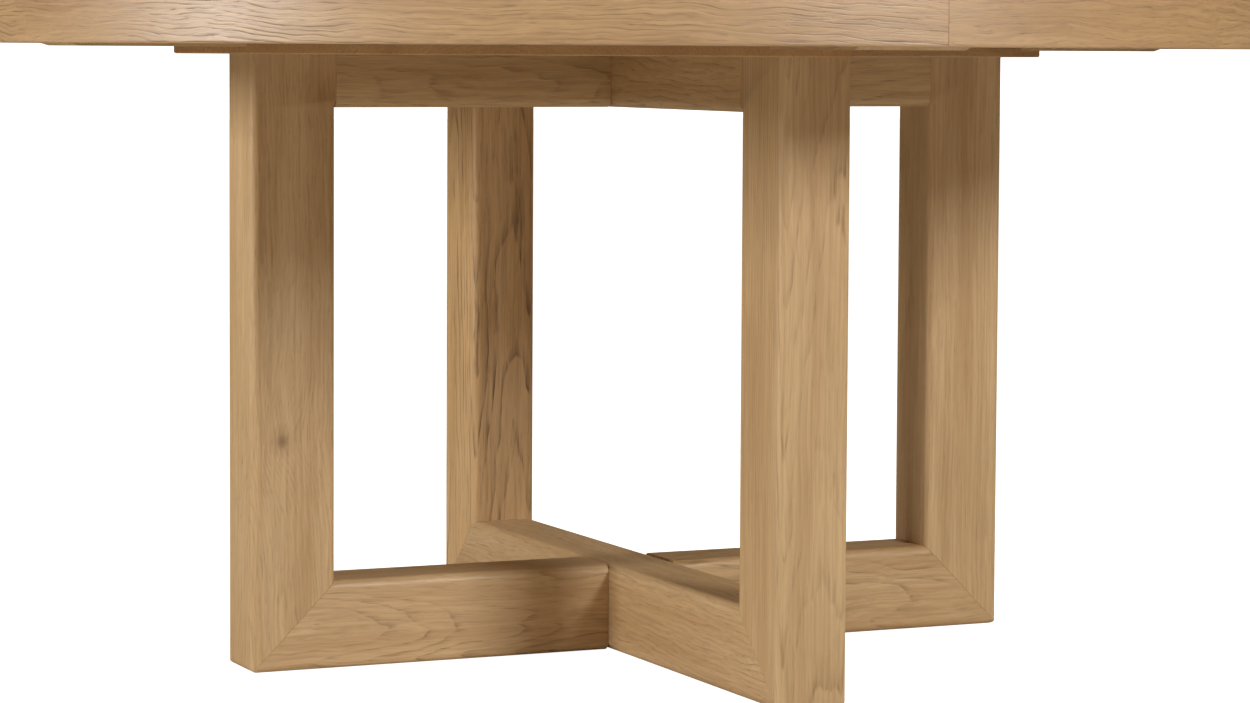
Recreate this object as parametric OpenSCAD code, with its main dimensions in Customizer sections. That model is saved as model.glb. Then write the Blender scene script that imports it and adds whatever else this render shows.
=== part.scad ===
// Round pedestal table: a boarded top in a four-part rim, two crossed battens, a square mounting
// board, and a pedestal of two upright frames that cross in the middle.
// +Z is up, the floor is z = 0, X runs along frame A and Y along frame B.

/* [Overall] */
// Height of the table from the floor to the top of the boards
table_h = 762; // [690:1:940]
// Diameter of the round top
top_d = 1524; // [1270:1:1830]
// Length of each upright frame along the floor
frame_l = 965; // [800:1:1160]

/* [Top] */
// Height of the rim around the top
rim_h = 54; // [45:1:65]
// Width of the rim under the boards
rim_w = 60; // [40:1:80]
// Width of the ledge that carries the ends of the boards
ledge_w = 12; // [6:1:20]
// Thickness of the boards
board_t = 25; // [18:1:30]
// Number of boards across the top
board_count = 9; // [5:2:11]
// Bevel along each board's upper edges
board_bevel = 0.8; // [0.4:0.1:2]
// Thickness of the tongue between two boards
tongue_t = 6; // [4:0.5:8]
// Depth of the tongue between two boards
tongue_d = 8; // [5:0.5:12]
// Rounding of the rim's outer edges
rim_round = 3; // [1:0.5:8]
// Thickness of the splines between the rim's four parts
spline_t = 6; // [4:0.5:9]
// Length of the splines around the rim
spline_l = 50; // [30:1:70]

/* [Battens] */
// Width of the two battens under the boards
batten_w = 128; // [100:1:160]
// How far the battens hang below the rim
batten_drop = 3; // [2:0.5:10]
// Gap between the end of a batten and the rim
batten_gap = 5; // [4:1:20]
// Length of the bevel at the battens' ends
batten_bevel_l = 10; // [4:1:20]
// Height of the bevel at the battens' ends
batten_bevel_h = 3; // [2:0.5:8]

/* [Mounting board] */
// How far the mounting board's corners reach past the ends of the frames
mount_overhang = 76; // [40:1:100]
// Thickness of the mounting board under the battens, which lie in channels in it
mount_t = 8; // [8:0.5:14]
// Bevel along the mounting board's lower edges
mount_bevel = 1.5; // [0.5:0.5:3]

/* [Frames] */
// Width of a post, measured along its frame
post_w = 101; // [90:1:125]
// Height of the bottom rails
foot_h = 101; // [90:1:125]
// Thickness of posts and rails across their frame
bar_t = 85; // [72:1:105]
// Height of the top rails
head_h = 60; // [52:1:75]
// Rounding of the long edges of posts and rails
edge_r = 10; // [4:1:14]
// Rounding of the frames' lower outer corners
toe_r = 9; // [4:1:14]

/* [Joinery] */
// Diameter of the dowels at the top rails and at the crossing
dowel_d = 12; // [8:1:14]
// Length of the dowels at the top rails
dowel_l = 70; // [50:1:80]
// Diameter of the dowels in the mitred corners
mitre_dowel_d = 10; // [8:1:12]
// Length of the dowels in the mitred corners
mitre_dowel_l = 50; // [40:1:56]
// Length of the dowels at the crossing
cross_dowel_l = 50; // [30:1:60]
// Diameter of the rods that tie the halves of frame A together
tie_d = 10; // [8:1:12]
// Distance from frame B to the nut pockets
tie_reach = 60; // [50:1:80]
// Length of a nut pocket
pocket_l = 40; // [34:1:50]
// Width of a nut pocket
pocket_w = 34; // [32:1:40]
// Diameter of the washers on the tie rods
tie_washer_d = 28; // [24:1:30]
// Clearance around dowels, screws and rods
fit_gap = 0.1; // [0.05:0.05:0.2]
// Gap around the boards where they sit in the rim
panel_gap = 0.3; // [0.2:0.1:1]

/* [Screws] */
// Diameter of the wood screws' shanks
screw_d = 5.5; // [4:0.5:6]
// Diameter of the wood screws' heads
screw_head_d = 11; // [9:0.5:12]
// Length of the screws from the mounting board into the posts
post_screw_l = 60; // [45:1:80]
// Length of the screws from the mounting board into the top rails
rail_screw_l = 40; // [30:1:45]
// How far the screws from the battens reach into the boards
board_screw_bite = 15; // [10:1:16]
// Depth of the recess for the head of a batten screw
recess_depth = 12; // [6:1:14]
// Diameter of the machine screws from the mounting board to the battens
bolt_d = 6; // [5:1:8]
// Diameter of the threaded inserts in the battens
insert_d = 10; // [10:0.5:12]
// Length of the threaded inserts in the battens
insert_l = 20; // [14:1:22]

/* [Levellers] */
// Diameter of a leveller's pad
pad_d = 40; // [30:1:44]
// Thickness of a leveller's pad
pad_t = 6; // [4:0.5:8]
// Clearance of the pads above the floor when they are wound in
pad_lift = 1; // [0.6:0.1:2]
// Diameter of a leveller's threaded stem
stem_d = 10; // [8:1:12]
// Travel of a leveller
leveller_travel = 10; // [6:1:12]
// Wood left between a leveller's hole and the mitre of the frame
leveller_cover = 10; // [5:1:25]
// Running clearance around a stem
stem_gap = 0.08; // [0.05:0.01:0.1]

/* [Hidden] */
$fn = 96;
rim_fn = 256;
eps = 0.01;

rim_ids = [1, 2, 3, 4];
board_ids = [for (i = [1 : board_count]) i];
leveller_ids = [1, 2, 3, 4];

oak = "#c9a06a";
oak_light = "#d3ad78";
oak_dark = "#a9824f";
beech = "#d9b98c";
zinc = "#b8bcc0";
nylon = "#2b2b2b";

// Heights, from the top down
rim_z = table_h - rim_h;
board_z = table_h - board_t;
batten_z = rim_z - batten_drop;
batten_t = board_z - batten_z;
mount_z = batten_z - mount_t;
mount_slab_t = rim_z - mount_z;
head_z = mount_z - head_h;

// Plan sizes
rim_r = top_d / 2;
panel_r = rim_r - rim_w + ledge_w;
well_r = rim_r - rim_w;
batten_l = 2 * (sqrt(pow(well_r - batten_gap, 2) - pow(batten_w / 2, 2)));
half_l = frame_l / 2;
mount_side = sqrt(2) * (half_l + mount_overhang);
post_x = half_l - post_w / 2;
inner_x = half_l - post_w;
side_y = bar_t / 2;

// Width of a board, rounded down to a hundredth of a millimetre
board_w = floor(100 * 2 * panel_r / board_count) / 100;

// Joinery
tongue_z = board_z + (board_t - tongue_t) / 2;
groove_room = 5 * fit_gap;
spline_r = rim_r - rim_w / 2;
spline_w = rim_w / 2;
spline_z = rim_z + (rim_h - spline_t) / 2;
tie_z_low = foot_h / 2;
tie_z_high = mount_z - head_h / 2;
pocket_x = side_y + tie_reach;
washer_t = 2;
nut_t = 8;
nut_share = 1.7;
nut_af = nut_share * tie_d;
rod_spare = 3;
rod_half = pocket_x + washer_t + nut_t + rod_spare;
pocket_over = 4;
pocket_r = tie_washer_d / 2 + pocket_over;
dowel_y = bar_t / 4;
cross_dowel_share = 0.31;
cross_dowel_y = bar_t * cross_dowel_share;

// Screws
head_taper = (screw_head_d - screw_d) / 2;
bolt_head_d = 2 * bolt_d;
bolt_taper = (bolt_head_d - bolt_d) / 2;
bolt_y = (bar_t + batten_w) / 4;
bolt_out = 158;
bolt_x = side_y + bolt_out;
insert_sink = 3;
insert_z = batten_z + insert_sink;
bolt_short = 1;
bolt_top = insert_z + insert_l - bolt_short;
cap_t = 4;
cap_trim = 1;
cap_d = screw_head_d - cap_trim;
cap_room = 1;
cap_z = batten_z + recess_depth;
board_screw_share = 0.3;
board_screw_y = batten_w * board_screw_share;
batten_end_shares = [-0.8, -0.45, 0.45, 0.8];
post_screw_x = post_w / 4;
rail_screw_x = (pocket_x + pocket_l + inner_x) / 2;

// Levellers
hole_room = 2;
pad_hole_r = pad_d / 2 + hole_room;
stem_r = stem_d / 2;
pad_hub_wall = 4.5;
pad_hub_r = stem_r + pad_hub_wall;
pad_hub_t = 6;
pad_floor_t = 3;
pad_room = 5;
key_share = 0.3;
key_r = stem_d * key_share;
key_depth = stem_d / 2;
key_room = 0.5;
flange_t = 2;
flange_out = 6;
flange_r = stem_r + flange_out;
sleeve_wall = 2.5;
sleeve_r = stem_r + sleeve_wall;
sleeve_l = 25;
pad_hole_t = pad_lift + pad_t + pad_hub_t + pad_room + flange_t;
stem_z = pad_lift + pad_floor_t;
stem_top = pad_hole_t + sleeve_l + leveller_travel;
stem_room = 2;
leveller_inset = (stem_top + stem_room + leveller_cover) * post_w / foot_h + stem_r;
leveller_x = half_l - leveller_inset;

// Rectangle with its lower left corner at the origin and rounded corners: near y = 0 and near y = h
module round_bar(w, h, r_low, r_high) {
    difference() {
        square([w, h]);
        for (side = [0, 1]) {
            translate([side * w, 0]) mirror([side, 0]) corner_cut(r_low);
            translate([side * w, h]) mirror([side, 0]) mirror([0, 1]) corner_cut(r_high);
        }
    }
}

// What a rounding takes off a corner at the origin
module corner_cut(r) {
    if (r > 0) {
        difference() {
            translate([-eps, -eps]) square(r + eps);
            translate([r, r]) circle(r);
        }
    }
}

// Side view of a whole frame, with its lower corners rounded, to trim the members with
module frame_outline() {
    translate([0, side_y + eps, 0]) rotate([90, 0, 0]) linear_extrude(bar_t + 2 * eps) {
        translate([-half_l, 0]) difference() {
            square([frame_l, mount_z]);
            corner_cut(toe_r);
            translate([frame_l, 0]) mirror([1, 0]) corner_cut(toe_r);
        }
    }
}

// Everything above the mitre of the right-hand lower corner
module above_mitre() {
    translate([0, side_y + eps, 0]) rotate([90, 0, 0]) linear_extrude(bar_t + 2 * eps) {
        polygon([
            [half_l - 2 * post_w, 2 * foot_h],
            [half_l + post_w, -foot_h],
            [half_l + post_w, table_h],
            [half_l - 2 * post_w, table_h]
        ]);
    }
}

// Everything below that mitre, as far in as the crossing
module below_mitre() {
    translate([0, side_y + eps, 0]) rotate([90, 0, 0]) linear_extrude(bar_t + 2 * eps) {
        polygon([
            [half_l - 2 * post_w, 2 * foot_h],
            [half_l + post_w, -foot_h],
            [-half_l - post_w, -foot_h],
            [-half_l - post_w, 2 * foot_h]
        ]);
    }
}

// Post at the right-hand end of a frame, with its rounding stopped at the top rail
module post() {
    difference() {
        intersection() {
            union() {
                translate([inner_x, side_y, 0]) rotate([0, 0, -90]) linear_extrude(mount_z) {
                    round_bar(bar_t, post_w, edge_r, edge_r);
                }
                translate([inner_x, -side_y, head_z]) cube([post_w / 2, bar_t, head_h]);
            }
            frame_outline();
            above_mitre();
        }
        corner_dowels(fit_gap);
        head_end_dowels(fit_gap);
        post_screws(fit_gap);
    }
}

// Bottom rail of a frame, mitred at its right-hand end, before it is cut to length or bored
module foot_blank() {
    intersection() {
        translate([-half_l, side_y, 0]) rotate([90, 0, 90]) linear_extrude(frame_l) {
            translate([-bar_t, 0]) round_bar(bar_t, foot_h, edge_r, edge_r);
        }
        frame_outline();
        below_mitre();
    }
}

// Top rail between two stations along a frame: its lower edges are rounded, its top is square
module head_blank(x_from, x_to) {
    translate([x_from, -side_y, head_z]) rotate([90, 0, 90]) linear_extrude(x_to - x_from) {
        round_bar(bar_t, head_h, edge_r, 0);
    }
}

// Dowels of the right-hand mitred corner, square to the mitre
module corner_dowels(gap) {
    lean = atan2(foot_h, post_w);
    for (side = [-1, 1]) {
        translate([half_l - post_w / 2, side * dowel_y, foot_h / 2]) rotate([0, lean, 0]) {
            cylinder(d = mitre_dowel_d + 2 * gap, h = mitre_dowel_l + 2 * gap, center = true);
        }
    }
}

// Dowels between the right-hand post and its top rail
module head_end_dowels(gap) {
    for (side = [-1, 1]) {
        translate([inner_x, side * dowel_y, tie_z_high]) rotate([0, 90, 0]) {
            cylinder(d = dowel_d + 2 * gap, h = dowel_l + 2 * gap, center = true);
        }
    }
}

// Dowels between the right-hand half of frame A and frame B, at one height
module butt_dowels(z, gap) {
    for (side = [-1, 1]) {
        translate([side_y, side * cross_dowel_y, z]) rotate([0, 90, 0]) {
            cylinder(d = dowel_d + 2 * gap, h = cross_dowel_l + 2 * gap, center = true);
        }
    }
}

// Rod along X through the crossing, at one height
module rod(z, gap) {
    translate([0, 0, z]) rotate([0, 90, 0]) {
        cylinder(d = tie_d + 2 * gap, h = 2 * (rod_half + gap), center = true);
    }
}

// Countersunk screw that hangs from z = 0, head up
module flat_screw(d, head_d, taper, length, gap) {
    translate([0, 0, -length - gap]) cylinder(d = d + 2 * gap, h = length + gap);
    translate([0, 0, -taper - gap]) cylinder(d1 = d + 2 * gap, d2 = head_d + 2 * gap, h = taper);
    translate([0, 0, -gap - eps]) cylinder(d = head_d + 2 * gap, h = gap + eps);
}

// Screws from the mounting board into the right-hand post
module post_screws(gap) {
    for (side = [-1, 1]) {
        translate([post_x + side * post_screw_x, 0, batten_z]) {
            flat_screw(screw_d, screw_head_d, head_taper, post_screw_l, gap);
        }
    }
}

// Screw from the mounting board into the right-hand half of a top rail
module rail_screw(gap) {
    translate([rail_screw_x, 0, batten_z]) {
        flat_screw(screw_d, screw_head_d, head_taper, rail_screw_l, gap);
    }
}

// The same shape at both ends of frame A, along X
module both_ends() {
    children();
    rotate([0, 0, 180]) children();
}

// The same shape at all four ends of the two frames
module four_ends() {
    for (turn = [0 : 90 : 270]) rotate([0, 0, turn]) children();
}

// Hole for a leveller at the right-hand end of a frame
module leveller_hole() {
    translate([leveller_x, 0, -eps]) {
        cylinder(r = pad_hole_r, h = pad_hole_t + eps);
        cylinder(r = sleeve_r + fit_gap, h = pad_hole_t + sleeve_l + fit_gap + eps);
        cylinder(r = stem_r + 2 * fit_gap, h = stem_top + stem_room + eps);
    }
}

// Right-hand bottom rail of frame A, from the mitre to frame B
module half_foot() {
    difference() {
        intersection() {
            foot_blank();
            translate([side_y, -bar_t, -eps]) cube([half_l, 2 * bar_t, 2 * foot_h]);
        }
        corner_dowels(fit_gap);
        butt_dowels(tie_z_low, fit_gap);
        rod(tie_z_low, fit_gap);
        leveller_hole();
        translate([pocket_x, -pocket_w / 2, -eps]) cube([pocket_l, pocket_w, tie_z_low + pocket_r + eps]);
    }
}

// Right-hand top rail of frame A, from the post to frame B
module half_head() {
    difference() {
        head_blank(side_y, inner_x);
        head_end_dowels(fit_gap);
        butt_dowels(tie_z_high, fit_gap);
        rod(tie_z_high, fit_gap);
        rail_screw(fit_gap);
        translate([pocket_x, -pocket_w / 2, tie_z_high - pocket_r]) cube([pocket_l, pocket_w, head_h]);
    }
}

// Bottom rail of frame B, mitred at both ends and bored for the crossing
module foot_b() {
    color(oak) difference() {
        rotate([0, 0, 90]) difference() {
            intersection() {
                foot_blank();
                rotate([0, 0, 180]) foot_blank();
            }
            both_ends() corner_dowels(fit_gap);
            both_ends() leveller_hole();
        }
        both_ends() butt_dowels(tie_z_low, fit_gap);
        rod(tie_z_low, fit_gap);
    }
}

// Top rail of frame B, post to post
module head_b() {
    color(oak) difference() {
        rotate([0, 0, 90]) difference() {
            head_blank(-inner_x, inner_x);
            both_ends() head_end_dowels(fit_gap);
            both_ends() rail_screw(fit_gap);
        }
        both_ends() butt_dowels(tie_z_high, fit_gap);
        rod(tie_z_high, fit_gap);
    }
}

module post_a_left() {
    color(oak) rotate([0, 0, 180]) post();
}

module post_a_right() {
    color(oak_light) post();
}

module post_b_front() {
    color(oak_light) rotate([0, 0, -90]) post();
}

module post_b_back() {
    color(oak) rotate([0, 0, 90]) post();
}

module foot_a_left() {
    color(oak) rotate([0, 0, 180]) half_foot();
}

module foot_a_right() {
    color(oak) half_foot();
}

module head_a_left() {
    color(oak_dark) rotate([0, 0, 180]) half_head();
}

module head_a_right() {
    color(oak_dark) half_head();
}

module mitre_dowels() {
    color(beech) four_ends() corner_dowels(0);
}

module head_dowels() {
    color(beech) four_ends() head_end_dowels(0);
}

module cross_dowels() {
    color(beech) for (z = [tie_z_low, tie_z_high]) both_ends() butt_dowels(z, 0);
}

module tie_rod_lower() {
    color(zinc) rod(tie_z_low, 0);
}

module tie_rod_upper() {
    color(zinc) rod(tie_z_high, 0);
}

// Washer or nut on each end of both tie rods
module tie_washers() {
    color(zinc) for (z = [tie_z_low, tie_z_high]) both_ends() {
        translate([pocket_x, 0, z]) rotate([0, 90, 0]) difference() {
            cylinder(d = tie_washer_d, h = washer_t);
            translate([0, 0, -eps]) cylinder(d = tie_d + 2 * fit_gap, h = washer_t + 2 * eps);
        }
    }
}

module tie_nuts() {
    color(zinc) for (z = [tie_z_low, tie_z_high]) both_ends() {
        translate([pocket_x + washer_t, 0, z]) rotate([0, 90, 0]) difference() {
            cylinder(d = nut_af / cos(30), h = nut_t, $fn = 6);
            translate([0, 0, -eps]) cylinder(d = tie_d + 2 * fit_gap, h = nut_t + 2 * eps);
        }
    }
}

// Places of the machine screws that hold the battens to the mounting board
module at_bolts() {
    for (turn = [0, 90], x = [-1, 1], y = [-1, 1]) {
        rotate([0, 0, turn]) translate([x * bolt_x, y * bolt_y, 0]) children();
    }
}

// Machine screw with its countersunk head flush with the mounting board's underside
module bolt(gap) {
    translate([0, 0, mount_z]) mirror([0, 0, 1]) {
        flat_screw(bolt_d, bolt_head_d, bolt_taper, bolt_top - mount_z, gap);
    }
}

module batten_bolts() {
    color(zinc) at_bolts() bolt(0);
}

module batten_inserts() {
    color(zinc) at_bolts() translate([0, 0, insert_z]) difference() {
        cylinder(d = insert_d, h = insert_l);
        translate([0, 0, -eps]) cylinder(d = bolt_d + 2 * fit_gap, h = insert_l + 2 * eps);
    }
}

// Square mounting board, turned so that its corners lie over the frames
module mounting_board() {
    color(oak_dark) difference() {
        translate([0, 0, mount_z]) rotate([0, 0, 45]) {
            translate([-mount_side / 2, mount_side / 2, 0]) mount_slab();
        }
        for (turn = [0, 90]) rotate([0, 0, turn]) batten_channel();
        four_ends() post_screws(fit_gap);
        four_ends() rail_screw(fit_gap);
        at_bolts() bolt(fit_gap);
    }
}

// Channel in the mounting board's upper face for a batten along X
module batten_channel() {
    translate([-mount_side, -batten_w / 2, batten_z]) cube([2 * mount_side, batten_w, batten_drop + eps]);
}

// Slab with its four lower edges bevelled, from the corner at the origin towards +X and -Y
module mount_slab() {
    intersection() {
        rotate([90, 0, 0]) linear_extrude(mount_side) mount_section();
        translate([mount_side, 0, 0]) rotate([0, 0, -90]) rotate([90, 0, 0]) {
            linear_extrude(mount_side) mount_section();
        }
    }
}

module mount_section() {
    polygon([
        [mount_bevel, 0],
        [mount_side - mount_bevel, 0],
        [mount_side, mount_bevel],
        [mount_side, mount_slab_t],
        [0, mount_slab_t],
        [0, mount_bevel]
    ]);
}

module frame_screws() {
    color(zinc) four_ends() {
        post_screws(0);
        rail_screw(0);
    }
}

// Batten along X, before it is lapped or bored
module batten_blank() {
    translate([-batten_l / 2, batten_w / 2, batten_z]) rotate([90, 0, 0]) linear_extrude(batten_w) {
        polygon([
            [batten_bevel_l, 0],
            [batten_l - batten_bevel_l, 0],
            [batten_l, batten_bevel_h],
            [batten_l, batten_t],
            [0, batten_t],
            [0, batten_bevel_h]
        ]);
    }
}

// Half of the lap where the battens cross: the lower or the upper half of their thickness
module lap(z) {
    translate([-batten_w / 2, -batten_w / 2, z]) cube([batten_w, batten_w, batten_t / 2 + eps]);
}

// Recessed screw from a batten up into a board, at the origin's place
module board_screw(gap) {
    translate([0, 0, cap_z - cap_t]) cylinder(d = cap_d, h = cap_t);
    translate([0, 0, cap_z - eps]) {
        cylinder(d = screw_d + 2 * gap, h = board_z + board_screw_bite - cap_z + gap + eps);
    }
}

// Recess and hole for such a screw
module board_screw_hole() {
    translate([0, 0, batten_z - eps]) cylinder(d = cap_d + 2 * cap_room, h = recess_depth + eps);
    board_screw(fit_gap);
}

// Places of the screws from the battens into the boards
module at_board_screws() {
    middle = (board_count + 1) / 2;
    for (i = board_ids, side = [-1, 1]) {
        if (i != middle) {
            translate([side * board_screw_y, (i - middle) * board_w, 0]) children();
        }
    }
    for (share = batten_end_shares, side = [-1, 1]) {
        translate([share * batten_l / 2, side * board_screw_y, 0]) children();
    }
}

module board_screws() {
    color(zinc) at_board_screws() board_screw(0);
}

module batten_a() {
    color(oak_dark) difference() {
        batten_blank();
        lap(batten_z + batten_t / 2);
        at_board_screws() board_screw_hole();
        insert_holes();
    }
}

module batten_b() {
    color(oak_dark) difference() {
        rotate([0, 0, 90]) batten_blank();
        lap(batten_z - eps);
        at_board_screws() board_screw_hole();
        insert_holes();
    }
}

module insert_holes() {
    at_bolts() {
        translate([0, 0, insert_z - fit_gap]) {
            cylinder(d = insert_d + 2 * fit_gap, h = insert_l + 2 * fit_gap);
        }
        bolt(fit_gap);
    }
}

// Section of a board across its grain: tongue on one side, groove on the other
module board_section(has_tongue, has_groove) {
    tongue_y = tongue_z - board_z;
    difference() {
        union() {
            polygon([
                [0, 0],
                [board_w, 0],
                [board_w, board_t - board_bevel],
                [board_w - board_bevel, board_t],
                [board_bevel, board_t],
                [0, board_t - board_bevel]
            ]);
            if (has_tongue) {
                translate([board_w - eps, tongue_y]) square([tongue_d + eps, tongue_t]);
            }
        }
        if (has_groove) {
            translate([-eps, tongue_y - fit_gap]) {
                square([tongue_d + groove_room + eps, tongue_t + 2 * fit_gap]);
            }
        }
    }
}

// One board of the top, cut to the circle of the rim
module top_board(i) {
    color(i % 2 == 0 ? oak : oak_light) difference() {
        intersection() {
            translate([-panel_r, (i - 1 - board_count / 2) * board_w, board_z]) {
                rotate([90, 0, 90]) linear_extrude(2 * panel_r) board_section(i < board_count, i > 1);
            }
            translate([0, 0, board_z]) cylinder(r = panel_r - panel_gap, h = board_t, $fn = rim_fn);
        }
        at_board_screws() board_screw(fit_gap);
    }
}

// Section of the rim: ledge inside, rounded edges outside
module rim_section() {
    difference() {
        polygon([
            [well_r, 0],
            [rim_r, 0],
            [rim_r, rim_h],
            [panel_r, rim_h],
            [panel_r, rim_h - board_t],
            [well_r, rim_h - board_t]
        ]);
        translate([rim_r, 0]) mirror([1, 0]) corner_cut(rim_round);
        translate([rim_r, rim_h]) mirror([1, 0]) mirror([0, 1]) corner_cut(rim_round);
    }
}

// Splines across the rim's four seams, which lie over the frames
module splines(gap) {
    four_ends() {
        translate([spline_r, 0, spline_z + spline_t / 2]) {
            cube([spline_w + 2 * gap, spline_l + 2 * gap, spline_t + 2 * gap], center = true);
        }
    }
}

module rim_segment(i) {
    color(oak_light) difference() {
        rotate([0, 0, 90 * (i - 1)]) translate([0, 0, rim_z]) {
            rotate_extrude(angle = 90, $fn = rim_fn) rim_section();
        }
        splines(fit_gap);
    }
}

module rim_splines() {
    color(beech) splines(0);
}

// The four levellers stand at +X, +Y, -X and -Y, in that order
module at_leveller(i) {
    rotate([0, 0, 90 * (i - 1)]) translate([leveller_x, 0, 0]) children();
}

module leveller_inserts() {
    color(zinc) for (i = leveller_ids) at_leveller(i) difference() {
        union() {
            translate([0, 0, pad_hole_t - flange_t]) cylinder(r = flange_r, h = flange_t);
            translate([0, 0, pad_hole_t - eps]) cylinder(r = sleeve_r, h = sleeve_l + eps);
        }
        cylinder(r = stem_r + stem_gap, h = stem_top);
    }
}

// Threaded stem with a socket for a hex key in its lower end
module leveller_stem(i) {
    color(zinc) at_leveller(i) difference() {
        translate([0, 0, stem_z]) cylinder(r = stem_r, h = stem_top - stem_z);
        translate([0, 0, stem_z - eps]) cylinder(r = key_r, h = key_depth, $fn = 6);
    }
}

// Pad that the stem turns in, with a hole for the key
module leveller_pad(i) {
    color(nylon) at_leveller(i) translate([0, 0, pad_lift]) difference() {
        union() {
            cylinder(d = pad_d, h = pad_t);
            translate([0, 0, pad_t - eps]) cylinder(r = pad_hub_r, h = pad_hub_t + eps);
        }
        translate([0, 0, -eps]) cylinder(r = key_r + key_room, h = pad_t);
        translate([0, 0, pad_floor_t]) cylinder(r = stem_r + stem_gap, h = pad_t + pad_hub_t);
    }
}

for (i = board_ids) {
    top_board(i);
}
for (i = rim_ids) {
    rim_segment(i);
}
for (i = leveller_ids) {
    leveller_stem(i);
    leveller_pad(i);
}
rim_splines();
batten_a();
batten_b();
board_screws();
mounting_board();
batten_inserts();
batten_bolts();
frame_screws();
post_a_left();
post_a_right();
post_b_front();
post_b_back();
foot_a_left();
foot_a_right();
foot_b();
head_a_left();
head_a_right();
head_b();
mitre_dowels();
head_dowels();
cross_dowels();
tie_rod_lower();
tie_rod_upper();
tie_washers();
tie_nuts();
leveller_inserts();
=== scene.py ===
import math

import bmesh
import bpy
from mathutils import Matrix, Vector


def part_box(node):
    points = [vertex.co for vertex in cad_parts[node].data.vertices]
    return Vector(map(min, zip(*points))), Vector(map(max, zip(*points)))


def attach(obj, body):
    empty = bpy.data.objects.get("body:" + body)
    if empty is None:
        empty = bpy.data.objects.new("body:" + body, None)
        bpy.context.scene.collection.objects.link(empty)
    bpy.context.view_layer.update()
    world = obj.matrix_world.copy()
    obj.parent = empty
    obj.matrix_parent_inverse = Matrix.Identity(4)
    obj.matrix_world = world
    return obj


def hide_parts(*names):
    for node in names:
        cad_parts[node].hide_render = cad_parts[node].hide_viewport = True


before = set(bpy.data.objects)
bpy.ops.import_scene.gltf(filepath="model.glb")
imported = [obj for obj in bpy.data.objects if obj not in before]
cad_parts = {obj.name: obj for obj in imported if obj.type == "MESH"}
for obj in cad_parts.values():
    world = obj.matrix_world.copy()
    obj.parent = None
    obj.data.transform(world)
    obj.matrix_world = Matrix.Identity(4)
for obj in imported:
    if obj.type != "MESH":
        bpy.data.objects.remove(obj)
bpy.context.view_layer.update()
print("frame loaded")

closeBy = 1e-6        # points nearer than this count as the same, in metres
planeGap = 1e-7       # reach of a cutting plane

# Everything is in metres. Frame A runs along X, frame B along Y, and the floor is z = 0.
postLow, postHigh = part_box("post_a_right")
rimLow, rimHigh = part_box("rim_segment_1")

barSizes = {
    "inner": postLow[0],                # a post's inner face, from the middle of the table
    "half": postHigh[0],                # half the length of a frame
    "side": postHigh[1],                # half the thickness of the bars
    "top": postHigh[2],                 # height of the frames
    "foot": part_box("foot_b")[1][2],     # height of the bottom rails
    "head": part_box("head_b")[0][2],     # underside of the top rails
    "round": 0.010,                     # rounding of the long edges
    "roundSteps": 8,
    "toe": 0.009,                       # rounding of the lower outer corners
    "toeSteps": 6,
    "arris": 0.0004,                    # what sanding takes off the edges of a joint
}


def smooth(mesh):
    # Round stretches shade as curves, and edges sharper than 30 degrees stay crisp
    for face in mesh.polygons:
        face.use_smooth = True
    mesh.set_sharp_from_angle(angle=math.radians(30))


def makeObject(bm, name):
    bmesh.ops.recalc_face_normals(bm, faces=bm.faces)
    mesh = bpy.data.meshes.new(name)
    bm.to_mesh(mesh)
    bm.free()
    made = bpy.data.objects.new(name, mesh)
    bpy.context.scene.collection.objects.link(made)
    return made


def startBox(low, high):
    # A box from its lowest and highest corners
    low, high = Vector(low), Vector(high)
    bm = bmesh.new()
    bmesh.ops.create_cube(bm, size=1)
    bmesh.ops.scale(bm, vec=high - low, verts=bm.verts)
    bmesh.ops.translate(bm, vec=(low + high) / 2, verts=bm.verts)
    return bm


def cutAway(bm, place, normal):
    # Takes off what lies beyond a plane and closes the cut
    geom = bm.verts[:] + bm.edges[:] + bm.faces[:]
    cut = bmesh.ops.bisect_plane(
        bm, geom=geom, dist=planeGap, plane_co=place, plane_no=normal, clear_outer=True,
    )
    edges = [part for part in cut["geom_cut"] if isinstance(part, bmesh.types.BMEdge)]
    if edges:
        bmesh.ops.contextual_create(bm, geom=edges)


def roundEdges(bm, edges, radius, steps):
    bmesh.ops.bevel(
        bm, geom=edges, offset=radius, offset_type="OFFSET", segments=steps, profile=0.5,
        affect="EDGES", material=-1, clamp_overlap=True,
    )


def softenFace(bm, place, normal):
    # A fine arris round a joint's face, which shows the joint as a line
    normal = Vector(normal).normalized()
    place = Vector(place)
    edges = set()
    for face in bm.faces:
        offPlane = abs((face.calc_center_median() - place).dot(normal))
        if face.normal.dot(normal) > 0.999 and offPlane < 10 * closeBy:
            edges.update(face.edges)
    roundEdges(bm, list(edges), barSizes["arris"], 1)


def cutMitre(bm, keepPost):
    # The mitre of the right-hand lower corner: the post lies above it, the rail below it
    s = barSizes
    normal = Vector((s["foot"], 0, s["half"] - s["inner"])).normalized()
    if keepPost:
        normal.negate()
    cutAway(bm, (s["half"], 0, 0), normal)
    roundToe(bm)
    bm.normal_update()
    softenFace(bm, (s["half"], 0, 0), normal)


def roundToe(bm):
    # Planes that touch the arc of the lower outer corner
    s = barSizes
    middle = Vector((s["half"] - s["toe"], 0, s["toe"]))
    for step in range(1, 2 * s["toeSteps"]):
        angle = math.radians(90) * step / (2 * s["toeSteps"])
        out = Vector((math.sin(angle), 0, -math.cos(angle)))
        cutAway(bm, middle + s["toe"] * out, out)


def near(value, target):
    return abs(value - target) < closeBy


def longEdges(bm, test):
    # Edges along X or Z on both cheeks of a bar whose ends both pass the test
    side = barSizes["side"]
    found = []
    for edge in bm.edges:
        a, b = (v.co for v in edge.verts)
        onCheek = near(abs(a.y), side) and near(a.y, b.y)
        if onCheek and test(a) and test(b):
            found.append(edge)
    return found


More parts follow.
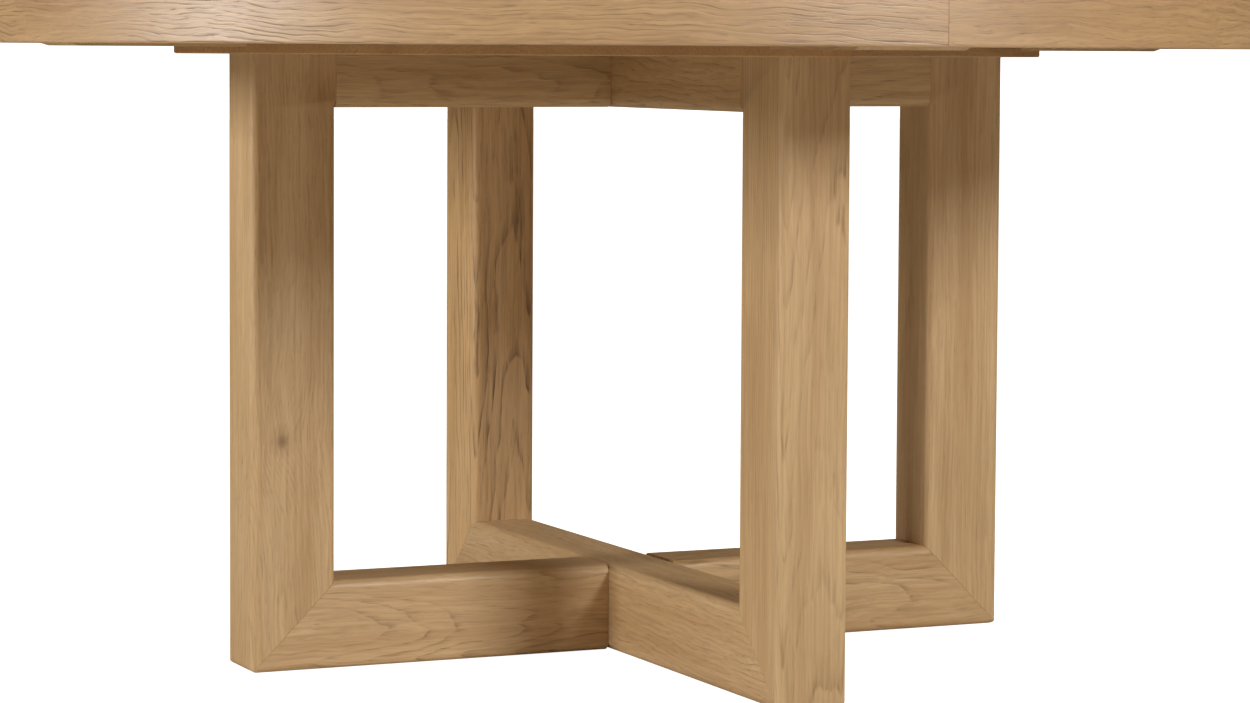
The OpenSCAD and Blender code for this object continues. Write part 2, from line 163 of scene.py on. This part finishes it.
def post(name, turn):
    s = barSizes
    bm = startBox((s["inner"], -s["side"], 0), (s["half"], s["side"], s["top"]))
    geom = bm.verts[:] + bm.edges[:] + bm.faces[:]
    bmesh.ops.bisect_plane(bm, geom=geom, dist=planeGap, plane_co=(0, 0, s["head"]), plane_no=(0, 0, 1))
    outer = longEdges(bm, lambda p: near(p.x, s["half"]))
    inner = longEdges(bm, lambda p: near(p.x, s["inner"]) and p.z < s["head"] + closeBy)
    roundEdges(bm, outer + inner, s["round"], s["roundSteps"])
    cutMitre(bm, True)
    return finishBar(bm, name, turn)


def bothFeet(bm):
    s = barSizes
    edges = longEdges(bm, lambda p: near(p.z, 0)) + longEdges(bm, lambda p: near(p.z, s["foot"]))
    roundEdges(bm, edges, s["round"], s["roundSteps"])


def halfFoot(name, turn):
    s = barSizes
    bm = startBox((s["side"], -s["side"], 0), (s["half"], s["side"], s["foot"]))
    bothFeet(bm)
    cutMitre(bm, False)
    bm.normal_update()
    softenFace(bm, (s["side"], 0, 0), (-1, 0, 0))
    made = finishBar(bm, name, turn)
    drillFoot(made, [turn])
    return made


def wholeFoot(name, turn):
    s = barSizes
    bm = startBox((-s["half"], -s["side"], 0), (s["half"], s["side"], s["foot"]))
    bothFeet(bm)
    for _ in range(2):
        cutMitre(bm, False)
        bmesh.ops.rotate(bm, cent=(0, 0, 0), matrix=Matrix.Rotation(math.pi, 3, "Z"), verts=bm.verts)
    made = finishBar(bm, name, turn)
    drillFoot(made, [turn, turn + 180])
    return made


def head(name, turn, start):
    s = barSizes
    bm = startBox((start, -s["side"], s["head"]), (s["inner"], s["side"], s["top"]))
    roundEdges(bm, longEdges(bm, lambda p: near(p.z, s["head"])), s["round"], s["roundSteps"])
    bm.normal_update()
    softenFace(bm, (s["inner"], 0, 0), (1, 0, 0))
    softenFace(bm, (start, 0, 0), (-1, 0, 0))
    return finishBar(bm, name, turn)


def finishBar(bm, name, turn):
    bmesh.ops.rotate(bm, cent=(0, 0, 0), matrix=Matrix.Rotation(math.radians(turn), 3, "Z"), verts=bm.verts)
    return makeObject(bm, name)


padLow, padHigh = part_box("leveller_pad_1")
holeSizes = {
    "padPlace": (padLow[0] + padHigh[0]) / 2,
    "padRadius": 0.022,       # hole for a leveller's pad
    "padDepth": 0.020,
    "padSides": 48,
    "pocketWidth": 0.034,     # pocket for the nut of a tie rod
    "pocketLength": 0.040,
    "pocketReach": 0.060,     # from frame B to the pocket
    "pocketDepth": 0.0685,
    "past": 0.010,            # how far the cutter stands out below
}


def drillFoot(made, turns):
    # Recesses in the underside: one round for each leveller, one square for a nut of the lower tie rod
    h = holeSizes
    side = barSizes["side"]
    cutters = []
    for turn in turns:
        spin = Matrix.Rotation(math.radians(turn), 3, "Z")
        bm = bmesh.new()
        bmesh.ops.create_cone(
            bm, cap_ends=True, segments=h["padSides"], radius1=h["padRadius"], radius2=h["padRadius"],
            depth=2 * h["padDepth"],
        )
        bmesh.ops.translate(bm, vec=(h["padPlace"], 0, 0), verts=bm.verts)
        bmesh.ops.rotate(bm, cent=(0, 0, 0), matrix=spin, verts=bm.verts)
        cutters.append(makeObject(bm, "cutter"))
        if len(turns) == 1:
            start = side + h["pocketReach"]
            wide = h["pocketWidth"] / 2
            bm = startBox((start, -wide, -h["past"]), (start + h["pocketLength"], wide, h["pocketDepth"]))
            bmesh.ops.rotate(bm, cent=(0, 0, 0), matrix=spin, verts=bm.verts)
            cutters.append(makeObject(bm, "cutter"))
    for cutter in cutters:
        cut = made.modifiers.new("cut", "BOOLEAN")
        cut.operation = "DIFFERENCE"
        cut.solver = "EXACT"
        cut.object = cutter
    shaped = made.evaluated_get(bpy.context.evaluated_depsgraph_get())
    mesh = bpy.data.meshes.new_from_object(shaped)
    made.modifiers.clear()
    plain = made.data
    made.data = mesh
    bpy.data.meshes.remove(plain)
    mesh.name = made.name
    for cutter in cutters:
        bpy.data.meshes.remove(cutter.data)


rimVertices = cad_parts["rim_segment_1"].data.vertices
topSizes = {
    "outer": rimHigh[0],
    "seat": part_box("top_board_5")[1][0],      # radius of the boards' ends
    "well": min(math.hypot(v.co.x, v.co.y) for v in rimVertices),
    "bottom": rimLow[2],
    "top": rimHigh[2],
    "boardBottom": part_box("top_board_5")[0][2],
    "gap": 0.0003,            # between the boards' ends and the rim
    "edgeRound": 0.003,       # rounding of the rim's outer edges
    "bevel": 0.0008,          # bevel along the boards' upper edges
    "slack": 0.0001,          # how far a spun point may drift
    "steps": 72,              # of a quarter of the rim
    "roundSteps": 5,
    "boardSides": 256,
    "bevelSteps": 2,
    "boards": 9,
}


def rimSegment(name, turn):
    t = topSizes
    seat = t["seat"] + t["gap"]
    outline = [
        (t["well"], t["bottom"]), (t["outer"], t["bottom"]), (t["outer"], t["top"]),
        (seat, t["top"]), (seat, t["boardBottom"]), (t["well"], t["boardBottom"]),
    ]
    bm = bmesh.new()
    bm.faces.new([bm.verts.new((x, 0, z)) for x, z in outline])
    bmesh.ops.spin(
        bm, geom=bm.verts[:] + bm.edges[:] + bm.faces[:], cent=(0, 0, 0), axis=(0, 0, 1),
        angle=math.radians(90), steps=t["steps"], use_merge=False, use_duplicate=False,
    )
    bmesh.ops.recalc_face_normals(bm, faces=bm.faces)
    hoops = []
    for edge in bm.edges:
        a, b = (v.co for v in edge.verts)
        reach = min(math.hypot(a.x, a.y), math.hypot(b.x, b.y))
        if reach > t["outer"] - t["slack"] and abs(a.z - b.z) < t["slack"]:
            hoops.append(edge)
    roundEdges(bm, hoops, t["edgeRound"], t["roundSteps"])
    bm.normal_update()
    softenFace(bm, (0, 0, 0), (0, -1, 0))
    bm.normal_update()
    softenFace(bm, (0, 0, 0), (-1, 0, 0))
    made = finishBar(bm, name, turn)
    # The grain follows the rim, so each point keeps its place along it, across it and up it
    follow = made.data.attributes.new("alongRim", "FLOAT_VECTOR", "POINT")
    start = math.radians(turn)
    for vertex in made.data.vertices:
        x, y, z = vertex.co
        angle = (math.atan2(y, x) - start + 0.5) % (2 * math.pi) - 0.5    # a little below zero stays so
        radius = math.hypot(x, y)
        follow.data[vertex.index].vector = (angle * t["outer"], radius, z)
    return made


def topBoard(name, number):
    t = topSizes
    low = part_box(f"top_board_{number}")[0][1]
    if number < t["boards"]:
        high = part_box(f"top_board_{number + 1}")[0][1]
    else:
        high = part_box(f"top_board_{number}")[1][1]
    bm = bmesh.new()
    bmesh.ops.create_circle(bm, cap_ends=True, segments=t["boardSides"], radius=t["seat"])
    bmesh.ops.translate(bm, vec=(0, 0, t["boardBottom"]), verts=bm.verts)
    for place, normal in ((low, -1), (high, 1)):
        geom = bm.verts[:] + bm.edges[:] + bm.faces[:]
        bmesh.ops.bisect_plane(
            bm, geom=geom, dist=planeGap, plane_co=(0, place, 0), plane_no=(0, normal, 0), clear_outer=True,
        )
    lifted = bmesh.ops.extrude_face_region(bm, geom=bm.faces[:])
    raised = [part for part in lifted["geom"] if isinstance(part, bmesh.types.BMVert)]
    bmesh.ops.translate(bm, vec=(0, 0, t["top"] - t["boardBottom"]), verts=raised)
    bmesh.ops.recalc_face_normals(bm, faces=bm.faces)
    upper = [e for e in bm.edges if all(near(v.co.z, t["top"]) for v in e.verts)]
    roundEdges(bm, upper, t["bevel"], t["bevelSteps"])
    return makeObject(bm, name)


def hexToLinear(text):
    # sRGB hex to linear red, green, blue and alpha
    values = [int(text[i:i + 2], 16) / 255 for i in (1, 3, 5)]
    return [v / 12.92 if v <= 0.04045 else ((v + 0.055) / 1.055) ** 2.4 for v in values] + [1.0]


def fillRamp(band, stops):
    # Each stop is a place along the ramp and a grey or a colour
    for i, (place, tone) in enumerate(stops):
        part = band.elements[i] if i < 2 else band.elements.new(place)
        part.position = place
        part.color = tone if isinstance(tone, list) else (tone, tone, tone, 1)


def addNode(tree, kind, settings=None, inputs=None):
    # A shader node with its settings; an input takes a value, a socket or another node's first output
    node = tree.nodes.new("ShaderNode" + kind)
    for key, value in (settings or {}).items():
        if key == "stops":
            fillRamp(node.color_ramp, value)
        else:
            setattr(node, key, value)
    for key, value in (inputs or {}).items():
        if isinstance(value, bpy.types.Node):
            value = value.outputs[0]
        if isinstance(value, bpy.types.NodeSocket):
            tree.links.new(value, node.inputs[key])
        else:
            node.inputs[key].default_value = value
    return node


def startMaterial(name):
    made = bpy.data.materials.new(name)
    made.use_nodes = True
    tree = made.node_tree
    return made, tree, tree.nodes["Principled BSDF"]


plus = {"operation": "ADD"}
minus = {"operation": "SUBTRACT"}
times = {"operation": "MULTIPLY"}
over = {"operation": "DIVIDE"}
timesPlus = {"operation": "MULTIPLY_ADD"}
fraction = {"operation": "FRACT"}
length = {"operation": "LENGTH"}

# Spots to a metre along the grain and across it, then the noise's detail
oakGrain = {
    "slow": (1.6, 7, 2),        # slow bends, about 600 by 140 mm
    "quick": (11, 34, 2),       # quick bends, about 90 by 30 mm
    "broken": (14, 260, 3),     # strokes of a growth ring, about 70 by 4 mm
    "patch": (3.5, 16, 2),      # where rings show and where they fade, about 290 by 60 mm
    "streak": (5, 330, 3),      # fine streaks, about 200 by 3 mm
    "pore": (34, 720, 2),       # pores, 30 mm long and drawn 1.4 mm wide
    "broad": (2.2, 26, 2),      # bands of paler and warmer wood, about 450 by 40 mm
}


def stretched(tree, place, spots, output=0):
    # Noise drawn out along the grain
    along, across, detail = spots
    drawn = addNode(tree, "VectorMath", times, {0: place, 1: (along, across, across)})
    noise = addNode(tree, "TexNoise", inputs={"Vector": drawn, "Scale": 1.0, "Detail": detail})
    return noise.outputs[output]


def bend(tree, place, spots, reach):
    # The place shifted across the grain by a noise colour
    noise = stretched(tree, place, spots, "Color")
    centred = addNode(tree, "VectorMath", minus, {0: noise, 1: (0.5, 0.5, 0.5)})
    scaled = addNode(tree, "VectorMath", times, {0: centred, 1: (0, reach, reach)})
    return addNode(tree, "VectorMath", plus, {0: place, 1: scaled})


oakLook = {
    "pale": "#cfae82",
    "warm": "#bb9669",
    "ring": "#86663b",
    "pore": "#614726",
    "knot": "#6b4a28",
    "ringWidth": 0.0055,      # distance between growth rings
    "ringDepth": 0.5,         # how dark the rings are
    "taper": 0.04,            # how much the rings widen along the log
    "wander": 0.03,           # reach of the slow bends
    "wave": 0.010,            # reach of the quick bends
    "pores": 0.42,            # how dark the pores are
    "crowd": 0.7,             # how much the pores crowd along the rings
    "stray": 0.45,            # share of the pores away from the rings
    "gloss": 0.46,            # roughness of the satin oil
    "poreGloss": 0.35,        # how much rougher the pores are
    "sheen": 0.5,             # strength of the highlight
    "ior": 1.5,
    "relief": 0.45,           # strength of the brushed relief
    "reliefDepth": 0.0008,
    "ringRelief": 0.6,        # depth of a ring's stroke beside a pore's
}


def oiledOak(name, turn, heart, shift, follow=None, knot=None, **changes):
    # Plain-sawn oak under a satin oil: growth rings that break up into strokes, long dark pores and a
    # soft, wide highlight. Rings are 4 to 8 mm apart. Pores are 0.3 mm wide, which is too fine to show,
    # so they are drawn 1.4 mm wide.
    look = {**oakLook, **changes}
    made, tree, shader = startMaterial(name)
    if follow:
        source = addNode(tree, "Attribute", {"attribute_name": follow}).outputs["Vector"]
    else:
        source = addNode(tree, "TexCoord").outputs["Object"]
    fromHeart = addNode(tree, "VectorMath", minus, {0: source, 1: heart})
    setting = {"Vector": fromHeart, "Location": (shift, 0, 0), "Rotation": turn}
    place = addNode(tree, "Mapping", {"vector_type": "POINT"}, setting)
    slow = bend(tree, place, oakGrain["slow"], look["wander"])
    bent = bend(tree, slow, oakGrain["quick"], look["wave"])

    # Growth rings round the heart of the log, which widen along it
    across = addNode(tree, "VectorMath", times, {0: bent, 1: (0, 1, 1)})
    reach = addNode(tree, "VectorMath", length, {0: across}).outputs["Value"]
    along = addNode(tree, "SeparateXYZ", inputs={0: bent})
    radius = addNode(tree, "Math", timesPlus, {0: along, 1: look["taper"], 2: reach})
    if knot:
        # The rings swell round a knot
        fromKnot = addNode(tree, "VectorMath", minus, {0: source, 1: knot["at"]})
        shaped = addNode(tree, "VectorMath", times, {0: fromKnot, 1: knot["shape"]})
        away = addNode(tree, "VectorMath", length, {0: shaped}).outputs["Value"]
        share = addNode(tree, "Math", over, {0: away, 1: knot["reach"]})
        fade = addNode(tree, "Math", timesPlus, {0: share, 1: share, 2: 1.0})
        swell = addNode(tree, "Math", over, {0: knot["swell"], 1: fade})
        radius = addNode(tree, "Math", plus, {0: radius, 1: swell})
    ringCount = addNode(tree, "Math", over, {0: radius, 1: look["ringWidth"]})
    phase = addNode(tree, "Math", fraction, {0: ringCount})

    # Each noise or distance becomes a share from 0 to 1 on a ramp of its own
    ramps = {
        "line": (phase, [(0.0, 1.0), (1.0, 1.0), (0.1, 0.62), (0.3, 0.14), (0.93, 0.0)]),
        "broken": (stretched(tree, bent, oakGrain["broken"]), [(0.4, 0.15), (0.6, 1.0)]),
        "patch": (stretched(tree, place, oakGrain["patch"]), [(0.36, 0.15), (0.62, 1.0)]),
        "streak": (stretched(tree, bent, oakGrain["streak"]), [(0.36, 0.0), (0.72, 0.34)]),
        "pore": (stretched(tree, bent, oakGrain["pore"]), [(0.54, 0.0), (0.7, 1.0)]),
        "broad": (stretched(tree, place, oakGrain["broad"]), [(0.3, 0.0), (0.7, 1.0)]),
    }
    if knot:
        ramps["knot"] = (share, [(0.0, 0.75), (0.5, 0.0), (0.12, 0.55), (0.22, 0.22)])
    shares = {}
    for key, (value, stops) in ramps.items():
        shares[key] = addNode(tree, "ValToRGB", {"stops": stops}, {"Fac": value})
    ringShare = shares["line"]
    for part in (shares["broken"], shares["patch"], look["ringDepth"]):
        ringShare = addNode(tree, "Math", times, {0: ringShare, 1: part})
    crowd = addNode(tree, "Math", timesPlus, {0: shares["line"], 1: look["crowd"], 2: look["stray"]})
    poreShare = shares["pore"]
    for part in (crowd, look["pores"]):
        poreShare = addNode(tree, "Math", times, {0: poreShare, 1: part})

    colour = hexToLinear(look["pale"])
    layers = [("warm", shares["broad"]), ("ring", shares["streak"]), ("ring", ringShare), ("pore", poreShare)]
    if knot:
        layers.append(("knot", shares["knot"]))
    for tint, cover in layers:
        mix = addNode(tree, "Mix", {"data_type": "RGBA"}, {0: cover, 6: colour, 7: hexToLinear(look[tint])})
        colour = mix.outputs[2]
    tree.links.new(colour, shader.inputs["Base Color"])

    rough = addNode(tree, "Math", timesPlus, {0: poreShare, 1: look["poreGloss"], 2: look["gloss"]})
    tree.links.new(rough.outputs[0], shader.inputs["Roughness"])
    sunk = addNode(tree, "Math", timesPlus, {0: ringShare, 1: look["ringRelief"], 2: poreShare})
    relief = {"Height": sunk, "Strength": look["relief"], "Distance": look["reliefDepth"]}
    bump = addNode(tree, "Bump", {"invert": True}, relief)
    tree.links.new(bump.outputs[0], shader.inputs["Normal"])
    shader.inputs["Specular IOR Level"].default_value = look["sheen"]
    shader.inputs["IOR"].default_value = look["ior"]
    return made


steelLook = {
    "grey": "#9fa3a4",
    "yellow": "#c9c8bd",
    "marks": 900.0,           # tool marks to a metre
    "clouds": 60.0,           # clouds of colour to a metre
    "gloss": 0.22,            # lowest roughness
    "glossRange": 0.25,
}


def zincSteel(name):
    # Zinc-plated turned steel: pale grey, faintly yellow in clouds 17 mm wide, with 1 mm marks of the tool
    made, tree, shader = startMaterial(name)
    place = addNode(tree, "TexCoord").outputs["Object"]
    marks = addNode(tree, "TexNoise", inputs={"Vector": place, "Scale": steelLook["marks"], "Detail": 2})
    cloud = addNode(tree, "TexNoise", inputs={"Vector": place, "Scale": steelLook["clouds"], "Detail": 2})
    tones = [(0, hexToLinear(steelLook["grey"])), (1, hexToLinear(steelLook["yellow"]))]
    tone = addNode(tree, "ValToRGB", {"stops": tones}, {"Fac": cloud})
    tree.links.new(tone.outputs[0], shader.inputs["Base Color"])
    rough = addNode(tree, "Math", timesPlus, {0: marks, 1: steelLook["glossRange"], 2: steelLook["gloss"]})
    tree.links.new(rough.outputs[0], shader.inputs["Roughness"])
    shader.inputs["Metallic"].default_value = 1.0
    return made


nylonLook = {
    "dark": "#1c1c1d",
    "pale": "#313233",
    "grit": 1400.0,           # grains to a metre
    "relief": 0.2,
    "reliefDepth": 0.0002,
    "gloss": 0.6,
}


def mouldedNylon(name):
    # Black moulded nylon: matt, with the fine sparkle of a spark-eroded mould. Its grit is 0.1 mm, which
    # is too fine to show, so it is drawn 0.7 mm.
    made, tree, shader = startMaterial(name)
    place = addNode(tree, "TexCoord").outputs["Object"]
    grit = addNode(tree, "TexNoise", inputs={"Vector": place, "Scale": nylonLook["grit"], "Detail": 1})
    tones = [(0, hexToLinear(nylonLook["dark"])), (1, hexToLinear(nylonLook["pale"]))]
    tone = addNode(tree, "ValToRGB", {"stops": tones}, {"Fac": grit})
    tree.links.new(tone.outputs[0], shader.inputs["Base Color"])
    relief = {"Height": grit, "Strength": nylonLook["relief"], "Distance": nylonLook["reliefDepth"]}
    bump = addNode(tree, "Bump", inputs=relief)
    tree.links.new(bump.outputs[0], shader.inputs["Normal"])
    shader.inputs["Roughness"].default_value = nylonLook["gloss"]
    return made


# Turns that bring each direction of the grain onto the pattern's X
alongX = (0, 0, 0)
alongY = (0, 0, -math.pi / 2)
alongZ = (0, math.pi / 2, 0)
diagonal = (0, 0, -math.pi / 4)


def dress(made, material):
    made.data.materials.clear()
    made.data.materials.append(material)


def finishPiece(made, material):
    # The new piece stands for the CAD node of the same name, which it takes over
    node = made.name.rsplit(".", 1)[0]
    smooth(made.data)
    dress(made, material)
    shade = made.modifiers.new("flat faces shade flat", "WEIGHTED_NORMAL")
    shade.keep_sharp = True
    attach(made, "table")
    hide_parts(node)


# The heart of each piece's log, in the table's own coordinates, sets the figure on its faces; the number
# after it is how far along the log the piece was cut
barMaterials = {
    "post_a_left": oiledOak(
        "oiled oak, left post", alongZ, (-0.66, -0.10, 0), 3.1, ringWidth=0.0045, ringDepth=0.42,
        wave=0.012, pores=0.32,
        knot={"at": (-0.446, -0.0425, 0.262), "shape": (1.0, 1.0, 0.75), "reach": 0.034, "swell": 0.032},
    ),
    "post_b_front": oiledOak(
        "oiled oak, front post", alongZ, (0.016, -0.34, 0), 5.7, taper=0.03, ringWidth=0.0045, ringDepth=0.8,
        wave=0.006, wander=0.022, pores=0.22,
    ),
    "post_a_right": oiledOak(
        "oiled oak, right post", alongZ, (0.61, 0.03, 0), 8.2, ringDepth=0.3, taper=0.02, wave=0.006,
        pores=0.24,
    ),
    "post_b_back": oiledOak(
        "oiled oak, back post", alongZ, (0.012, 0.45, 0), 11.4, taper=0.03, ringWidth=0.0048, ringDepth=1.0,
        wander=0.028, wave=0.006, pale="#ddb582", warm="#c79d68", ring="#64462a",
    ),
    "foot_a_left": oiledOak(
        "oiled oak, left foot", alongX, (0, 0.03, 0.045), 13.3, taper=0.035, ringWidth=0.0042, ringDepth=0.65,
        wander=0.035, wave=0.009, pores=0.32, pale="#dbbb8f", warm="#c6a277",
    ),
    "foot_a_right": oiledOak(
        "oiled oak, right foot", alongX, (0, 0.02, 0.03), 16.9, taper=0.05, ringWidth=0.0075, ringDepth=1.1,
        wander=0.045, wave=0.014, pores=0.32,
    ),
    "foot_b": oiledOak("oiled oak, through foot", alongY, (0.06, 0, 0.2), 19.2, ringDepth=0.5, wave=0.014),
    "head_a_left": oiledOak(
        "oiled oak, left head", alongX, (0, 0.03, 0.66), 21.5, taper=0.05, ringDepth=0.8, wave=0.012,
        pale="#c8a779", warm="#b48f60",
    ),
    "head_a_right": oiledOak(
        "oiled oak, right head", alongX, (0, 0.1, 0.72), 24.1, ringDepth=0.5, pale="#c8a779",
    ),
    "head_b": oiledOak(
        "oiled oak, through head", alongY, (0.05, 0, 0.75), 27.7, ringDepth=0.7, wave=0.012,
        pale="#c8a779", warm="#b48f60",
    ),
}

# What builds each bar, its node, its slot, and its turn about the table's middle
halfStart = barSizes["side"]
barPieces = [
    (post, "post_a_right", "post_oak", (0,)),
    (post, "post_b_back", "post_oak", (90,)),
    (post, "post_a_left", "post_oak", (180,)),
    (post, "post_b_front", "post_oak", (270,)),
    (halfFoot, "foot_a_right", "foot_oak", (0,)),
    (halfFoot, "foot_a_left", "foot_oak", (180,)),
    (wholeFoot, "foot_b", "foot_oak", (90,)),
    (head, "head_a_right", "head_oak", (0, halfStart)),
    (head, "head_a_left", "head_oak", (180, halfStart)),
    (head, "head_b", "head_oak", (90, -barSizes["inner"])),
]
for build, name, slotName, values in barPieces:
    finishPiece(build(name + ".visual", *values), barMaterials[name])
print("frames made")

# The figure differs from one part of the rim to the next, as cut from different planks
rimFigures = [
    {"ringWidth": 0.005, "ringDepth": 0.8, "wander": 0.04},
    {"ringWidth": 0.0042, "ringDepth": 0.9, "wander": 0.035},
    {"ringWidth": 0.0042, "ringDepth": 1.1, "wander": 0.035},
    {"ringWidth": 0.0072, "ringDepth": 0.62, "wander": 0.045},
]
rimHearts = {
    "in": 0.13,               # from the rim's outer face
    "down": 0.13,             # from its underside, for the first part
    "downStep": 0.02,
    "start": 0.7,             # along the log, for the first part
    "startStep": 1.9,
}
for i, figure in enumerate(rimFigures):
    name = f"rim_segment_{i + 1}"
    heartAcross = topSizes["outer"] - rimHearts["in"]
    heartUp = topSizes["bottom"] - rimHearts["down"] - rimHearts["downStep"] * i
    shift = rimHearts["startStep"] * i + rimHearts["start"]
    material = oiledOak(
        f"oiled oak, rim part {i + 1}", alongX, (0, heartAcross, heartUp), shift, follow="alongRim",
        taper=0.02, wave=0.015, gloss=0.46, sheen=0.88, ior=1.62, pale="#c49d6e", warm="#b0875a",
        ring="#6a471f", pore="#553c1e", **figure,
    )
    finishPiece(rimSegment(name + ".visual", 90 * i), material)

boardLook = {
    "tones": [("#cfaa7e", "#bb9265"), ("#c9a274", "#b58a5c"), ("#d3b088", "#c0986c")],
    "pitch": 0.1587,
    "aside": 0.03,            # how far the heart stands to one side of a board's middle
    "down": 0.09,             # from the upper face to the heart
    "start": 31.0,            # along the log
    "startStep": 2.3,
}
for i in range(1, topSizes["boards"] + 1):
    name = f"top_board_{i}"
    kind = i * 2 % 3
    pale, warm = boardLook["tones"][kind]
    heartAcross = (i - 5) * boardLook["pitch"] + boardLook["aside"] * (kind - 1)
    heartUp = topSizes["top"] - boardLook["down"]
    shift = boardLook["start"] + boardLook["startStep"] * i
    material = oiledOak(
        f"oiled oak, board {i}", alongX, (0, heartAcross, heartUp), shift, pale=pale, warm=warm,
        taper=0.05, ringWidth=0.006, ringDepth=0.6, wave=0.014,
    )
    finishPiece(topBoard(name + ".visual", i), material)
print("top made")

# CAD nodes that keep their shape get a finish only. The battens are planed oak, duller than the oiled
# faces, and the mounting board's oak facing is a shade browner.
nodeMaterials = {
    "batten_a": oiledOak("planed oak, batten", alongX, (0, 0.1, 0.66), 61.0, gloss=0.6),
    "batten_b": oiledOak("planed oak, cross batten", alongY, (0.1, 0, 0.66), 63.0, gloss=0.6),
    "mounting_board": oiledOak(
        "oak-faced board", diagonal, (0, 0, 0.58), 66.0, pale="#b8905f", warm="#a67d4f", gloss=0.6,
    ),
}
steel = zincSteel("zinc-plated steel")
nylon = mouldedNylon("moulded nylon")
# Beech is paler than oak and nearly even, with faint rings
beech = oiledOak(
    "planed beech", alongX, (0, 0.2, 0), 70.0, pale="#dcbd94", warm="#d0ad82", ring="#b98f62", pore="#a67c52",
    ringDepth=0.3, gloss=0.6,
)
for name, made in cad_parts.items():
    if name in nodeMaterials:
        dress(made, nodeMaterials[name])
    elif name in ("rim_splines", "mitre_dowels", "head_dowels", "cross_dowels"):
        dress(made, beech)
    elif name.startswith("leveller_pad"):
        dress(made, nylon)
    elif not name.startswith(("post_", "foot_", "head_", "rim_segment", "top_board")):
        dress(made, steel)
print("hardware dressed")

studio = {
    "floorSize": 30.0,
    "floorGap": 0.0005,        # keeps the paper clear of the feet's undersides
    "floorColour": "#dccfb9",
    "floorPale": "#f8f7f6",
    "floorCloud": 3.0,         # clouds to a metre
    "floorGlow": 1.0,          # lifts the paper to clean white for the camera alone
    "skyColour": "#fff0c8",    # dim warm fill; the camera itself sees white
    "skyStrength": 0.157,
    "skySeen": 1.4,
    "lampColour": "#fbfdff",
    "leftPower": 144.0,
    "leftAzimuth": 90.0,       # degrees from -Y towards -X
    "leftHeight": 1.72,
    "leftWidth": 0.6,
    "rightPower": 163.0,
    "rightAzimuth": -16.4,
    "rightHeight": 2.6,
    "rightWidth": 1.0,
    "lightTall": 1.2,
    "distance": 4.8,
    "aim": (0, 0, 0.45),
    "abovePower": 4.2,
    "aboveWidth": 1.9,
    "aboveHeight": 3.4,
    "aboveSpread": 30.0,       # degrees; narrow, so it falls on the top and little else
}

bm = bmesh.new()
below = Matrix.Translation((0, 0, -studio["floorGap"]))
bmesh.ops.create_grid(bm, x_segments=1, y_segments=1, size=studio["floorSize"], matrix=below)
floor = makeObject(bm, "floor")
paper, tree, shader = startMaterial("white paper roll")
place = addNode(tree, "TexCoord").outputs["Object"]
mottle = addNode(tree, "TexNoise", inputs={"Vector": place, "Scale": studio["floorCloud"]})
tones = [(0, hexToLinear(studio["floorColour"])), (1, hexToLinear(studio["floorPale"]))]
tone = addNode(tree, "ValToRGB", {"stops": tones}, {"Fac": mottle})
tree.links.new(tone.outputs[0], shader.inputs["Base Color"])
shader.inputs["Roughness"].default_value = 0.9
shader.inputs["Emission Color"].default_value = (1, 1, 1, 1)
seen = addNode(tree, "LightPath").outputs["Is Camera Ray"]
glow = addNode(tree, "Math", times, {0: seen, 1: studio["floorGlow"]})
tree.links.new(glow.outputs[0], shader.inputs["Emission Strength"])
dress(floor, paper)

world = bpy.data.worlds.new("studio")
bpy.context.scene.world = world
world.use_nodes = True
tree = world.node_tree
back = tree.nodes["Background"]
seen = addNode(tree, "LightPath").outputs["Is Camera Ray"]
skyTint = {0: seen, 6: hexToLinear(studio["skyColour"]), 7: (1, 1, 1, 1)}
tint = addNode(tree, "Mix", {"data_type": "RGBA"}, skyTint)
tree.links.new(tint.outputs[2], back.inputs["Color"])
skyLevel = {"Value": seen, "To Min": studio["skyStrength"], "To Max": studio["skySeen"]}
level = addNode(tree, "MapRange", inputs=skyLevel)
tree.links.new(level.outputs[0], back.inputs["Strength"])


def pointAt(thing, place, target):
    # Stands a camera or light at a place, looking at a target
    thing.location = place
    thing.rotation_euler = (Vector(target) - Vector(place)).to_track_quat("-Z", "Y").to_euler()


def softBox(side):
    lamp = bpy.data.lights.new(side + " softbox", "AREA")
    lamp.size = studio[side + "Width"]
    lamp.color = hexToLinear(studio["lampColour"])[:3]
    lamp.energy = studio[side + "Power"]
    made = bpy.data.objects.new(side + " softbox", lamp)
    bpy.context.scene.collection.objects.link(made)
    return made


for side in ("left", "right"):
    made = softBox(side)
    made.data.shape = "RECTANGLE"
    made.data.size_y = studio["lightTall"]
    angle = math.radians(studio[side + "Azimuth"])
    far = studio["distance"]
    place = (-far * math.sin(angle), -far * math.cos(angle), studio[side + "Height"])
    pointAt(made, place, studio["aim"])
made = softBox("above")
made.data.shape = "DISK"
made.data.spread = math.radians(studio["aboveSpread"])
made.location = (0, 0, studio["aboveHeight"])

cameraSettings = {
    "place": (-1.7976, -3.952, 0.705),
    "yaw": 24.405,        # degrees to the right of +Y
    "pitch": -3.543,
    "roll": 0.309,
    "lens": 105.97,       # millimetres
    "sensor": 36.0,
    "shiftY": -0.06,
}
c = cameraSettings
cameraData = bpy.data.cameras.new("camera")
cameraData.lens = c["lens"]
cameraData.sensor_width = c["sensor"]
cameraData.shift_y = c["shiftY"]
camera = bpy.data.objects.new("camera", cameraData)
bpy.context.scene.collection.objects.link(camera)
yaw, pitch, roll = (math.radians(c[key]) for key in ("yaw", "pitch", "roll"))
turned = Matrix.Rotation(-yaw, 4, "Z") @ Matrix.Rotation(math.pi / 2 + pitch, 4, "X")
turned = turned @ Matrix.Rotation(roll, 4, "Z")
camera.matrix_world = Matrix.Translation(c["place"]) @ turned
bpy.context.scene.camera = camera
bpy.context.scene.view_settings.view_transform = "Standard"
print("studio set")
